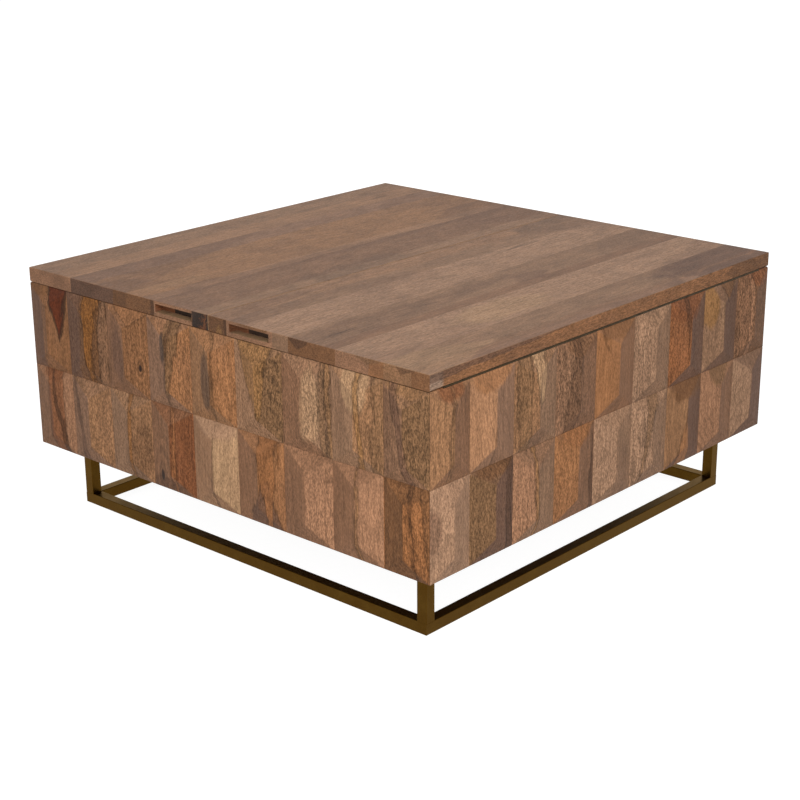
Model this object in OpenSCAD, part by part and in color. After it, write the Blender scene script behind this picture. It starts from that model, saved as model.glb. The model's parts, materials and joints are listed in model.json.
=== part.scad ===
// Trunk coffee table: a square storage box clad in carved wooden tiles, with two
// lids hinged on its outer sides, standing on a frame of square metal tube.
// Millimetres. The origin is on the floor under the middle of the table, +Z is up,
// and the front, where the finger slots are, faces -Y.

/* [Overall] */
// Width of the table across the outer edges of the two lids
top_w = 900; // [800:5:1200]
// Depth of the table, front edge to back edge of the lids
top_d = 900; // [700:5:1200]
// Height of the metal base, floor to underside of the box
base_h = 115; // [70:1:250]
// Height of the box, underside to top edge
body_h = 291; // [200:1:450]

/* [Lids] */
// Thickness of the lid boards
lid_t = 25; // [18:0.5:40]
// Gap between the box and the closed lids
lid_gap = 1.2; // [1:0.1:3]
// Gap between the two lids along the middle seam
seam_gap = 1.8; // [1.6:0.1:4]
// Width of the left lid's board at the seam, from the middle of the seam
left_board_1_w = 127; // [124:1:160]
// Width of the left lid's second board
left_board_2_w = 69; // [40:1:90]
// Width of the left lid's third board; the outermost board takes the rest
left_board_3_w = 142; // [80:1:150]
// Width of the right lid's board at the seam, from the middle of the seam
right_board_1_w = 41; // [30:1:44]
// Width of the right lid's second board
right_board_2_w = 133; // [100:1:150]
// Width of the right lid's third board
right_board_3_w = 96; // [60:1:110]
// Width of the right lid's fourth board; the outermost board takes the rest
right_board_4_w = 94; // [60:1:110]
// Easing of the lids' top edges
lid_ease = 1; // [0.3:0.1:3]
// Chamfer on the hinge-side arrises of lid and box, which lets a lid stand open
edge_chamfer = 2; // [1:0.1:4]

/* [Finger slots] */
// Distance of the left slot's middle from the seam
left_slot_centre = 81; // [60:1:140]
// Distance of the right slot's middle from the seam
right_slot_centre = 90; // [60:1:140]
// Length of a slot
slot_w = 86; // [50:1:100]
// Height of a slot
slot_h = 13.5; // [10:0.5:16]
// Depth of a slot into the lid's front edge
slot_depth = 16; // [10:1:30]
// Wood left over a slot, up to the lid's top face
slot_lip = 4.8; // [3:0.1:8]

/* [Lid battens] */
// Width of a batten
batten_w = 45; // [30:1:80]
// Thickness of a batten
batten_t = 18; // [12:1:30]
// Distance of a batten's middle from the middle of the table, front to back
batten_offset = 250; // [120:5:300]
// Distance of a batten's inner end from the middle of the seam
batten_seam_clear = 8; // [4:1:20]
// Clearance between a batten's outer end and the box wall
batten_wall_clear = 14; // [8:1:40]
// Length of the bevel at each end of a batten
batten_bevel = 8; // [2:1:12]

/* [Box] */
// Thickness of the core walls behind the tiles
wall_t = 15; // [12:0.5:25]
// Depth of the rebate in the front and back walls that takes the side walls
wall_rebate = 9; // [4:0.5:11]
// Thickness of the bottom panel
floor_t = 15; // [12:0.5:25]
// Fitting gap between the bottom panel and the walls
floor_fit = 0.25; // [0.1:0.05:0.8]
// Side of the square glue cleats round the bottom panel
cleat = 18; // [10:1:30]

/* [Tiles] */
// Number of tiles along each side
tile_cols = 9; // [3:1:15]
// Width of the tiles at the front right and back left corners
narrow_corner_w = 87; // [60:1:140]
// Width of the tiles at the front left and back right corners
wide_corner_w = 98; // [60:1:140]
// Thickness of a tile at its edges
tile_base = 6; // [4:0.5:12]
// Height of a tile's ridge over its edges
ridge_h = 10; // [4:0.5:25]
// Distance of a ridge's end from the tile's top or bottom edge
ridge_end = 30; // [10:1:60]
// Joint between neighbouring tiles
tile_joint = 0.4; // [0.2:0.1:2]
// Plain band of the upper tiles along the box's top edge
tile_band = 2; // [1:0.1:6]

/* [Metal base] */
// Side of the square tube
tube = 19; // [15:1:40]
// Wall of the tube
tube_wall = 1.5; // [1:0.1:3]
// Outer corner radius of the tube
tube_r = 1; // [0.5:0.1:2]
// Distance of the base's outer faces inside the lid edges
base_inset = 49.5; // [30:0.5:120]
// Distance between the two screws of each top rail
base_screw_spacing = 500; // [200:10:560]

/* [Hinges] */
// Distance of the hinge axis inside the lid's outer edge
axis_in = 2.2; // [2:0.1:4]
// Outer radius of the hinge knuckles
knuckle_r = 2; // [1.8:0.1:3]
// Radius of the hinge pin
pin_r = 1.1; // [0.8:0.05:1.3]
// Running clearance of the pin in the knuckles, on the radius
pin_clear = 0.05; // [0.02:0.01:0.1]
// Distance of a hinge's ends from the table's front and back edges
hinge_end = 30; // [10:1:80]
// Length of a knuckle with its end gap; it is fitted to an odd number of knuckles
knuckle_w = 40; // [20:1:80]
// Gap between neighbouring knuckles
knuckle_gap = 0.3; // [0.1:0.05:1]
// Thickness of a hinge leaf
leaf_t = 1; // [0.8:0.1:1.5]
// How far a leaf stands out of its mortise
leaf_proud = 0.4; // [0.1:0.05:0.45]
// Clearance of the mortises and coves round the hinge
hinge_clear = 0.3; // [0.2:0.05:0.6]
// Distance between the inner edge of a leaf and the inner face of the wall
leaf_margin = 0.8; // [0.4:0.1:3]
// Number of screws in each leaf
hinge_screw_count = 11; // [5:2:15]
// Distance of a leaf's end screws from its ends
hinge_screw_end = 18; // [8:1:40]

/* [Screws] */
// Clearance between a screw and its hole, on the radius
screw_clear = 0.05; // [0.03:0.01:0.2]
// Shank radius of the hinge screws
hinge_screw_r = 1.25; // [1:0.05:1.75]
// Head radius of the hinge screws
hinge_head_r = 2.5; // [2:0.1:3.2]
// Length of the hinge screws
hinge_screw_len = 13; // [8:1:16]
// Shank radius of the batten screws
batten_screw_r = 2; // [1.5:0.1:2.5]
// Head radius of the batten screws
batten_head_r = 4; // [3:0.1:5]
// How far the batten screws go into the boards
batten_screw_bite = 15; // [8:1:16]
// Shank radius of the base screws
base_screw_r = 2.1; // [1.5:0.1:2.5]
// Head radius of the base screws
base_head_r = 4; // [3:0.1:5]
// Head height of the base screws
base_head_h = 2.4; // [1.5:0.1:3]
// How far the base screws go into the bottom panel
base_screw_bite = 11; // [6:0.5:11.5]
// Clearance of the access holes round the base screw heads
access_clear = 1; // [0.5:0.1:2]

/* [Lid bumpers] */
// Radius of the soft discs that the lids close on
bumper_r = 4; // [3:0.5:6]
// Gap between a bumper and the closed lid
bumper_gap = 0.3; // [0.2:0.05:0.6]
// Distance of a bumper from the middle of the seam
bumper_x = 30; // [15:1:60]

/* [Hidden] */
$fn = 48;
// The four sides, a quarter turn apart
FRONT = 0;
RIGHT = 1;
BACK = 2;
LEFT = 3;
NEAR = -1;
FAR = 1;
// Heights
body_top = base_h + body_h;
lid_z = body_top + lid_gap;
axis_z = body_top + lid_gap / 2;
row_z = base_h + body_h / 2;
// The core inside the tiles, counted inwards from the face plane
core_out = tile_base;
core_in = tile_base + wall_t;
// Overshoot of the cutting bodies
eps = 1;
// Hinge
hinge_len = top_d - 2 * hinge_end;
knuckles = 2 * round((hinge_len / knuckle_w - 1) / 2) + 1;
knuckle_pitch = hinge_len / knuckles;
cove_r = knuckle_r + hinge_clear;
leaf_edge = core_in - leaf_margin;
leaf_sink = leaf_t - leaf_proud;
hinge_screw_y = core_out + wall_t / 2;
hinge_screw_pitch = (hinge_len - 2 * hinge_screw_end) / (hinge_screw_count - 1);
bumper_t = lid_gap - bumper_gap;

WOOD_TILE = [0.60, 0.42, 0.29];
WOOD_TILE_DARK = [0.50, 0.34, 0.24];
WOOD_LID = [0.55, 0.42, 0.34];
WOOD_CORE = [0.72, 0.58, 0.42];
METAL_BASE = [0.36, 0.27, 0.13];
METAL_HINGE = [0.45, 0.35, 0.18];
METAL_SCREW = [0.70, 0.68, 0.62];
RUBBER = [0.12, 0.11, 0.10];

// Half the table's size from its middle to the face plane of a side
function reach(side) = (side % 2 == 0 ? top_d : top_w) / 2;
// Length of a side
function side_len(side) = side % 2 == 0 ? top_w : top_d;
// Sum of the first n entries of a list
function sum_to(list, n) = n == 0 ? 0 : list[n - 1] + sum_to(list, n - 1);
// Board widths of the lid that is hinged on a side, without the outermost board
function boards(side) = side == LEFT
    ? [left_board_1_w, left_board_2_w, left_board_3_w]
    : [right_board_1_w, right_board_2_w, right_board_3_w, right_board_4_w];
// Distance of a board's seam-side edge from the middle of the table
function board_from(side, i) = i == 0 ? seam_gap / 2 : sum_to(boards(side), i);
// Distance of a board's outer edge from the middle of the table
function board_to(side, i) = i == len(boards(side)) ? reach(side) : sum_to(boards(side), i + 1);
// Distance from the seam to the middle of the slot of the lid that is hinged on a side
function slot_centre(side) = side == LEFT ? left_slot_centre : right_slot_centre;
// The end of a lid's own X axis that lies at the front of the table
function front_end(side) = side == RIGHT ? -1 : 1;
// Where a batten starts and ends, counted from the middle of the table
function batten_to(side) = reach(side) - core_in - batten_wall_clear;
// The middle of the stretch of batten under a board
function batten_screw_at(side, i) =
    (max(board_from(side, i), batten_seam_clear) + min(board_to(side, i), batten_to(side))) / 2;
// Width of the corner tile at a side's start or end
function corner_tile_w(side, at_end) =
    (side % 2 == 0) == at_end ? narrow_corner_w : wide_corner_w;
// Edges of the tile columns along a side
function column_edge(side, i) =
    let (
        half = side_len(side) / 2,
        first = -half + corner_tile_w(side, false),
        last = half - corner_tile_w(side, true)
    )
    i == 0 ? -half : i == tile_cols ? half : first + (i - 1) * (last - first) / (tile_cols - 2);

// A side's own frame: X along the side, Y inwards from the face plane, Z up
module on_side(side) {
    rotate([0, 0, 90 * side]) translate([0, -reach(side), 0]) children();
}

// A profile drawn in Y and Z, run along X
module along_x(length) {
    rotate([90, 0, 90]) linear_extrude(height = length, center = true) children();
}

// A cylinder along X
module rod_x(r, length) {
    rotate([0, 90, 0]) cylinder(r = r, h = length, center = true);
}

module tube_profile() {
    flat = tube - 2 * tube_r;
    difference() {
        union() {
            square([tube, flat], center = true);
            square([flat, tube], center = true);
            for (x = [-1, 1], y = [-1, 1]) translate([x * flat / 2, y * flat / 2]) circle(r = tube_r);
        }
        square(tube - 2 * tube_wall, center = true);
    }
}

// One tube of a ring, mitred at both ends, with its underside at height z
module ring_tube(side, z) {
    half = side_len(side) / 2 - base_inset;
    on_side(side) intersection() {
        translate([0, base_inset + tube / 2, z + tube / 2]) along_x(2 * half) tube_profile();
        translate([0, base_inset, z - eps]) linear_extrude(height = tube + 2 * eps)
            polygon([[-half, 0], [half, 0], [half - tube, tube], [tube - half, tube]]);
    }
}

// The places of the screws that hold the box to a top rail
module at_base_screws(side) {
    on_side(side) for (end = [-1, 1])
        translate([end * base_screw_spacing / 2, base_inset + tube / 2, base_h - tube_wall]) children();
}

module base_rail(side) {
    color(METAL_BASE) ring_tube(side, 0);
}

module base_post(x_end, y_end) {
    place = base_inset + tube / 2;
    color(METAL_BASE)
        translate([x_end * (top_w / 2 - place), y_end * (top_d / 2 - place), tube])
        linear_extrude(height = base_h - 2 * tube) tube_profile();
}

module base_top_rail(side) {
    color(METAL_BASE) difference() {
        ring_tube(side, base_h - tube);
        at_base_screws(side) {
            cylinder(r = base_screw_r + screw_clear, h = tube_wall + eps);
            translate([0, 0, -tube]) cylinder(r = base_head_r + access_clear, h = tube - tube_wall);
        }
    }
}

module base_screws() {
    color(METAL_SCREW) for (side = [FRONT, RIGHT, BACK, LEFT]) at_base_screws(side) {
        translate([0, 0, -base_head_h]) cylinder(r = base_head_r, h = base_head_h);
        cylinder(r = base_screw_r, h = tube_wall + base_screw_bite);
    }
}

module bottom_panel() {
    x = top_w - 2 * (core_in + floor_fit);
    y = top_d - 2 * (core_in + floor_fit);
    color(WOOD_CORE) difference() {
        translate([-x / 2, -y / 2, base_h]) cube([x, y, floor_t]);
        for (side = [FRONT, RIGHT, BACK, LEFT]) at_base_screws(side)
            cylinder(r = base_screw_r + screw_clear, h = tube_wall + base_screw_bite + screw_clear);
    }
}

// Front and back cleats run the full width, and the side cleats fit between them
module cleat_strip(side) {
    shortened = side % 2 == 0 ? 0 : cleat;
    half = side_len(side) / 2 - core_in - shortened;
    color(WOOD_CORE) on_side(side)
        translate([-half, core_in, base_h + floor_t]) cube([2 * half, cleat, cleat]);
}

// Front and back walls are rebated at their ends, and the side walls fit into them
module core_wall(side) {
    lap = wall_t - wall_rebate;
    long = side % 2 == 0;
    half = side_len(side) / 2 - core_out - (long ? 0 : lap);
    color(WOOD_CORE) on_side(side) difference() {
        translate([-half, core_out, base_h]) cube([2 * half, wall_t, body_h]);
        if (long) for (end = [0, 1]) mirror([end, 0, 0])
            translate([half - wall_t, core_out + lap, base_h - eps])
            cube([wall_t + eps, wall_rebate + eps, body_h + 2 * eps]);
        if (!long) box_hinge_cuts();
    }
}

// One carved tile between two columns and two heights: a plain base, and on it four
// facets that rise to an upright ridge, with a plain band over them. An end at a corner
// of the box is mitred, so it is drawn in by the tile's thickness at the back.
module tile(from, to, bottom, top, band, mitre_from, mitre_to) {
    gap = tile_joint / 2;
    a = from + gap;
    b = to - gap;
    low = bottom + gap;
    high = top - band;
    mid = (a + b) / 2;
    intersection() {
        translate([0, 0, low]) linear_extrude(height = top - low) polygon([
            [a + (mitre_from ? tile_base : 0), tile_base], [a, 0], [mid, -ridge_h],
            [b, 0], [b - (mitre_to ? tile_base : 0), tile_base]
        ]);
        translate([mid, 0, 0]) along_x(to - from) polygon([
            [tile_base, low], [0, low], [-ridge_h, low + ridge_end],
            [-ridge_h, high - ridge_end], [0, high], [0, top], [tile_base, top]
        ]);
    }
}

// One row of tiles along a side
module tile_run(side, bottom, top, band) {
    last = tile_cols - 1;
    for (i = [0 : last])
        tile(column_edge(side, i), column_edge(side, i + 1), bottom, top, band, i == 0, i == last);
}

module lower_tiles(side) {
    color(WOOD_TILE_DARK) on_side(side) tile_run(side, base_h, row_z - tile_joint / 2, 0);
}

// The upper tiles end in a plain band. The chamfers along the hinge sides also run
// through the corner tiles of the front and back.
module upper_tiles(side) {
    color(WOOD_TILE) difference() {
        on_side(side) tile_run(side, row_z, body_top, tile_band);
        for (hinged = [RIGHT, LEFT]) on_side(hinged) box_chamfer();
        if (side % 2 == 1) on_side(side) box_hinge_cuts();
    }
}

// The chamfer along the box's top outer edge
module box_chamfer() {
    c = edge_chamfer;
    translate([0, 0, body_top]) along_x(max(top_w, top_d) + 2 * eps)
        polygon([[-eps, -c - eps], [-eps, eps], [c + eps, eps]]);
}

// The chamfer along the lid's bottom outer edge
module lid_chamfer() {
    c = edge_chamfer;
    translate([0, 0, lid_z]) along_x(max(top_w, top_d) + 2 * eps)
        polygon([[-eps, c + eps], [-eps, -eps], [c + eps, -eps]]);
}

// The easing along a lid's top edges: its hinge side, and its front and back ends
module lid_easing(side) {
    half = side_len(side) / 2;
    top = lid_z + lid_t;
    corner = [[-eps, -lid_ease - eps], [-eps, eps], [lid_ease + eps, eps]];
    translate([0, 0, top]) along_x(2 * (half + eps)) polygon(corner);
    for (end = [0, 1]) mirror([end, 0, 0]) translate([half, 0, top]) rotate([90, 0, 180])
        linear_extrude(height = 2 * reach(side), center = true) polygon(corner);
}

// The places of the screws along a hinge leaf
module at_hinge_screws() {
    for (i = [0 : hinge_screw_count - 1])
        translate([(i - (hinge_screw_count - 1) / 2) * hinge_screw_pitch, hinge_screw_y, 0]) children();
}

// Cove round the knuckles, the same for the box and the lid
module hinge_cove() {
    translate([0, axis_in, axis_z]) rod_x(cove_r, hinge_len + 2 * hinge_clear);
}

// What is cut from the box's edge for its hinge leaf
module box_hinge_cuts() {
    hinge_cove();
    translate([-hinge_len / 2 - hinge_clear, axis_in, body_top - leaf_sink])
        cube([hinge_len + 2 * hinge_clear, core_in - axis_in + eps, leaf_sink + eps]);
    at_hinge_screws() translate([0, 0, body_top - leaf_sink - hinge_screw_len + leaf_t - screw_clear])
        cylinder(r = hinge_screw_r + screw_clear, h = hinge_screw_len);
}

// What is cut from the lid's underside for its hinge leaf
module lid_hinge_cuts() {
    hinge_cove();
    translate([-hinge_len / 2 - hinge_clear, axis_in, lid_z - eps])
        cube([hinge_len + 2 * hinge_clear, leaf_edge - axis_in + hinge_clear, leaf_sink + eps]);
    at_hinge_screws() translate([0, 0, lid_z + leaf_sink - leaf_t + screw_clear])
        cylinder(r = hinge_screw_r + screw_clear, h = hinge_screw_len);
}

// A hinge leaf in the box's place: a plate with every second knuckle, drawn below the axis
module leaf_shape(first) {
    plate_z = -lid_gap / 2 - leaf_sink;
    knuckle_len = knuckle_pitch - knuckle_gap;
    difference() {
        union() {
            translate([-hinge_len / 2, cove_r, plate_z]) cube([hinge_len, leaf_edge - axis_in - cove_r, leaf_t]);
            for (i = [first : 2 : knuckles - 1])
                translate([(i - (knuckles - 1) / 2) * knuckle_pitch, 0, 0]) {
                    rod_x(knuckle_r, knuckle_len);
                    translate([-knuckle_len / 2, 0, plate_z]) cube([knuckle_len, cove_r + eps, leaf_t]);
                }
        }
        rod_x(pin_r + pin_clear, hinge_len + 2 * eps);
        translate([0, -axis_in, 0]) at_hinge_screws() translate([0, 0, plate_z]) leaf_screw_hole();
    }
}

// Countersunk hole through a leaf, its wide end up
module leaf_screw_hole() {
    translate([0, 0, -eps]) cylinder(r = hinge_screw_r + screw_clear, h = leaf_t + 2 * eps);
    cylinder(r1 = hinge_screw_r + screw_clear, r2 = hinge_head_r + screw_clear, h = leaf_t);
}

// A hinge screw with its head flush with the leaf's face at height 0
module hinge_screw() {
    translate([0, 0, -leaf_t]) cylinder(r1 = hinge_screw_r, r2 = hinge_head_r, h = leaf_t);
    translate([0, 0, -hinge_screw_len]) cylinder(r = hinge_screw_r, h = hinge_screw_len - leaf_t);
}

module hinge_box_leaf(side) {
    color(METAL_HINGE) on_side(side) translate([0, axis_in, axis_z]) leaf_shape(0);
}

// The lid's leaf is the box's leaf turned over, with the other knuckles
module hinge_lid_leaf(side) {
    color(METAL_HINGE) on_side(side) translate([0, axis_in, axis_z]) mirror([0, 0, 1]) leaf_shape(1);
}

module hinge_pin(side) {
    color(METAL_HINGE) on_side(side) translate([0, axis_in, axis_z]) rod_x(pin_r, hinge_len);
}

module hinge_box_screws(side) {
    color(METAL_SCREW) on_side(side) at_hinge_screws()
        translate([0, 0, body_top + leaf_proud]) hinge_screw();
}

module hinge_lid_screws(side) {
    color(METAL_SCREW) on_side(side) at_hinge_screws()
        translate([0, 0, lid_z - leaf_proud]) mirror([0, 0, 1]) hinge_screw();
}

// The finger slot in the front edge of the lid that is hinged on a side
module finger_slot(side) {
    front = front_end(side) * side_len(side) / 2;
    translate([front, reach(side) - slot_centre(side), lid_z + lid_t - slot_lip - slot_h / 2])
        cube([2 * slot_depth, slot_w, slot_h], center = true);
}

// The places of the screws through one batten
module at_batten_screws(side, i) {
    for (end = [-1, 1])
        translate([end * batten_offset, reach(side) - batten_screw_at(side, i), lid_z]) children();
}

// One board of a lid; board 0 lies at the seam, and the last one carries the hinge
module lid_board(side, i) {
    half = side_len(side) / 2;
    from = board_from(side, i);
    to = board_to(side, i);
    color(WOOD_LID) on_side(side) difference() {
        translate([-half, reach(side) - to, lid_z]) cube([2 * half, to - from, lid_t]);
        finger_slot(side);
        lid_easing(side);
        at_batten_screws(side, i) translate([0, 0, -eps])
            cylinder(r = batten_screw_r + screw_clear, h = batten_screw_bite + screw_clear + eps);
        if (i == len(boards(side))) {
            lid_chamfer();
            lid_hinge_cuts();
        }
    }
}

// One batten across the boards of a lid, with bevelled ends and countersunk holes
module lid_batten(side, end) {
    a = reach(side) - batten_to(side);
    b = reach(side) - batten_seam_clear;
    x = end * front_end(side) * batten_offset * -1;
    color(WOOD_CORE) on_side(side) difference() {
        translate([x, 0, lid_z]) along_x(batten_w)
            polygon([[a, 0], [a + batten_bevel, -batten_t], [b - batten_bevel, -batten_t], [b, 0]]);
        for (i = [0 : len(boards(side))]) at_batten_screws(side, i) batten_screw_body(screw_clear);
    }
}

// A countersunk screw through a batten from below, or its hole with a clearance
module batten_screw_body(clear) {
    head_h = batten_head_r - batten_screw_r;
    cut = clear > 0 ? eps : 0;
    translate([0, 0, -batten_t]) {
        cylinder(r = batten_screw_r + clear, h = batten_t + (clear > 0 ? eps : batten_screw_bite));
        cylinder(r1 = batten_head_r + clear, r2 = batten_screw_r + clear, h = head_h);
        translate([0, 0, -cut]) cylinder(r = batten_head_r + clear, h = cut);
    }
}

module batten_screws(side) {
    color(METAL_SCREW) on_side(side)
        for (i = [0 : len(boards(side))]) at_batten_screws(side, i) batten_screw_body(0);
}

// Soft discs on the front and back walls, two under each lid
module lid_bumpers() {
    y = top_d / 2 - core_out - wall_t / 2;
    color(RUBBER) for (x = [-1, 1], end = [-1, 1])
        translate([x * bumper_x, end * y, body_top]) cylinder(r = bumper_r, h = bumper_t);
}

base_rail(FRONT);  // base_rail_front
base_rail(RIGHT);  // base_rail_right
base_rail(BACK);  // base_rail_back
base_rail(LEFT);  // base_rail_left
base_post(-1, -1);  // base_post_front_left
base_post(1, -1);  // base_post_front_right
base_post(1, 1);  // base_post_back_right
base_post(-1, 1);  // base_post_back_left
base_top_rail(FRONT);  // base_top_rail_front
base_top_rail(RIGHT);  // base_top_rail_right
base_top_rail(BACK);  // base_top_rail_back
base_top_rail(LEFT);  // base_top_rail_left
base_screws();
bottom_panel();
cleat_strip(FRONT);  // cleat_front
cleat_strip(RIGHT);  // cleat_right
cleat_strip(BACK);  // cleat_back
cleat_strip(LEFT);  // cleat_left
core_wall(FRONT);  // wall_front
core_wall(RIGHT);  // wall_right
core_wall(BACK);  // wall_back
core_wall(LEFT);  // wall_left
lower_tiles(FRONT);  // tiles_front_lower
upper_tiles(FRONT);  // tiles_front_upper
lower_tiles(RIGHT);  // tiles_right_lower
upper_tiles(RIGHT);  // tiles_right_upper
lower_tiles(BACK);  // tiles_back_lower
upper_tiles(BACK);  // tiles_back_upper
lower_tiles(LEFT);  // tiles_left_lower
upper_tiles(LEFT);  // tiles_left_upper
lid_bumpers();
hinge_box_leaf(LEFT);  // hinge_box_leaf_left
hinge_box_leaf(RIGHT);  // hinge_box_leaf_right
hinge_lid_leaf(LEFT);  // hinge_lid_leaf_left
hinge_lid_leaf(RIGHT);  // hinge_lid_leaf_right
hinge_pin(LEFT);  // hinge_pin_left
hinge_pin(RIGHT);  // hinge_pin_right
hinge_box_screws(LEFT);  // hinge_box_screws_left
hinge_box_screws(RIGHT);  // hinge_box_screws_right
hinge_lid_screws(LEFT);  // hinge_lid_screws_left
hinge_lid_screws(RIGHT);  // hinge_lid_screws_right
lid_board(LEFT, 0);  // left_lid_board_1
lid_board(LEFT, 1);  // left_lid_board_2
lid_board(LEFT, 2);  // left_lid_board_3
lid_board(LEFT, 3);  // left_lid_board_4
lid_board(RIGHT, 0);  // right_lid_board_1
lid_board(RIGHT, 1);  // right_lid_board_2
lid_board(RIGHT, 2);  // right_lid_board_3
lid_board(RIGHT, 3);  // right_lid_board_4
lid_board(RIGHT, 4);  // right_lid_board_5
lid_batten(LEFT, NEAR);  // left_lid_batten_front
lid_batten(LEFT, FAR);  // left_lid_batten_back
lid_batten(RIGHT, NEAR);  // right_lid_batten_front
lid_batten(RIGHT, FAR);  // right_lid_batten_back
batten_screws(LEFT);  // batten_screws_left
batten_screws(RIGHT);  // batten_screws_right
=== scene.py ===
# Trunk coffee table: carved mango-wood tiles and board lids on a brass-painted base.
# Everything is in metres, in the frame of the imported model: +Z up, the front facing -Y.

import json
import math
import random

import bmesh
import bpy
from mathutils import Euler, Matrix, Vector, noise

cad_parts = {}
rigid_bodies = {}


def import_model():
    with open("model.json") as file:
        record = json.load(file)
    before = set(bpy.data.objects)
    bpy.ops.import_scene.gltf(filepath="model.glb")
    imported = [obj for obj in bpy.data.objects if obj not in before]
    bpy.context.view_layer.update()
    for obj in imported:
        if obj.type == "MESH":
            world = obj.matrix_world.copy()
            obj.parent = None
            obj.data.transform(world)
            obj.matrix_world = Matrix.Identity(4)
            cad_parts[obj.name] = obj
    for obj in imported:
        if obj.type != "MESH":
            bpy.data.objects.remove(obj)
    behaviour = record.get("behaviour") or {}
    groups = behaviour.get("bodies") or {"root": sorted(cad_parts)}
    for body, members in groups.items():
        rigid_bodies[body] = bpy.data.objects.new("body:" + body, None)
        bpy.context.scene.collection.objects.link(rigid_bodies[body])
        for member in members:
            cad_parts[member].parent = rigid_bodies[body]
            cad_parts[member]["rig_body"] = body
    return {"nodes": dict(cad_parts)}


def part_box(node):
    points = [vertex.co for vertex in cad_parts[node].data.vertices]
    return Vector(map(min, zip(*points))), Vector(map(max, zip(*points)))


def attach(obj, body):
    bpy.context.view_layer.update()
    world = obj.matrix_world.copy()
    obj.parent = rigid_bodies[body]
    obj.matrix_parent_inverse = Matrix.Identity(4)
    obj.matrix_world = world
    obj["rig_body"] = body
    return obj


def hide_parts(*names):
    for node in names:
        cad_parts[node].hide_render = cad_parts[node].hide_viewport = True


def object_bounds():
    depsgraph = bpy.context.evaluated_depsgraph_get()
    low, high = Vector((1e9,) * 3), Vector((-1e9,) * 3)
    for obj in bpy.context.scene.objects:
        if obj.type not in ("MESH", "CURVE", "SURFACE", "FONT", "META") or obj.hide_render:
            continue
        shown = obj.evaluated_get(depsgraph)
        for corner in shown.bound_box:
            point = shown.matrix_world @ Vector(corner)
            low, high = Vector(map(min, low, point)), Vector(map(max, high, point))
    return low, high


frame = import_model()
cad_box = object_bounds()
NODES = frame["nodes"]
BODY_OF = {name: node["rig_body"] for name, node in NODES.items()}


# Tones

def srgb(red, green, blue):
    """A tone as a screen shows it, 0 to 255, as a linear colour."""
    shares = [value / 255 for value in (red, green, blue)]
    return tuple(s / 12.92 if s <= 0.04045 else ((s + 0.055) / 1.055) ** 2.4 for s in shares)


TONES = {
    # worn: pale, at the lid's near corner a worn patch that is partly a painted highlight
    "worn": srgb(168, 146, 128),
    "cream": srgb(170, 134, 100),
    "peach": srgb(158, 115, 83),
    "pale_tan": srgb(154, 119, 93),
    "pink_tan": srgb(150, 109, 81),
    "sand": srgb(147, 110, 82),
    "tan": srgb(142, 103, 72),
    "orange_tan": srgb(146, 100, 65),
    "orange": srgb(140, 92, 56),
    "rust": srgb(132, 84, 52),
    "red_brown": srgb(118, 72, 44),
    "dark_red": srgb(86, 40, 20),
    "amber": srgb(128, 82, 40),
    "gold": srgb(136, 97, 58),
    "olive": srgb(116, 85, 58),
    "grey_tan": srgb(137, 104, 79),
    "ash_tan": srgb(134, 100, 77),
    "ash_brown": srgb(128, 94, 70),
    "grey_brown": srgb(127, 91, 66),
    "warm_brown": srgb(128, 88, 58),
    "brown": srgb(108, 73, 46),
    "mauve": srgb(102, 73, 56),
    "dark_brown": srgb(76, 50, 33),
    "blue_black": srgb(62, 51, 45),
    # near black: the dark figure of knots and bands, and the painted shade in the finger slots
    "dark_figure_and_shade": srgb(46, 31, 22),
}


# Looks. Across a tile or board -1 and 1 are its edges, up or to the back 0 and 1 its ends

CLEAR = (0.0, 0.0, 0.0, 0.0)
NO_BAND = {"tone": CLEAR, "plan": (0.0, 0.0, -1.0, -1.0)}
NO_SPOT = {"tone": CLEAR, "plan": (0.0, 0.0, 1.0, 1.0)}
NO_KNOT = (0.0, 0.0, 0.01, 0.0)
MIDDLE_SPLIT = 0.001           # a split nearer to 0 than this is in the middle
LAST_SPLIT = 5.0               # a split beyond this stands for the tile's ridge
# A split at the ridge makes the second tone painted shade on the facets turned from the light
AT_RIDGE = 9.0


def band(tone, at, top, bottom, lean=0.0, strength=0.75):
    """A coloured band along the grain: where its middle is halfway up, its half width at the
    top and at the bottom, and how far its middle moves to the right on the way up. It ends
    where the half width goes under 0."""
    return {"tone": (*TONES[tone], strength), "plan": (at, lean, top, bottom)}


def spot(tone, across, up, wide, tall, strength=0.75):
    """A coloured patch: its middle, its half width and its half height."""
    return {"tone": (*TONES[tone], strength), "plan": (across, up, wide, tall)}


def look(main, side=None, split=AT_RIDGE, bands=(), patch=NO_SPOT, eye=NO_KNOT, speckle=1.0):
    """The wood of one tile or board: its main tone, the tone on the far side of a split, which
    past the tile's ridge is painted shade on the facets turned from the light, up to two
    bands, a patch, a knot as (across, up, radius, strength), and how speckled it is."""
    first, second = (*bands, NO_BAND, NO_BAND)[:2]
    return {
        "tone": (*TONES[main], speckle),
        # the second tone: wood tone past a split, and painted shade on the facets past the ridge
        "side_or_shade_tone": (*TONES[side or main], split),
        "tint_a": first["tone"],
        "plan_a": first["plan"],
        "tint_b": second["tone"],
        "plan_b": second["plan"],
        "patch_tint": patch["tone"],
        "patch_plan": patch["plan"],
        "eye": eye,
    }


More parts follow.
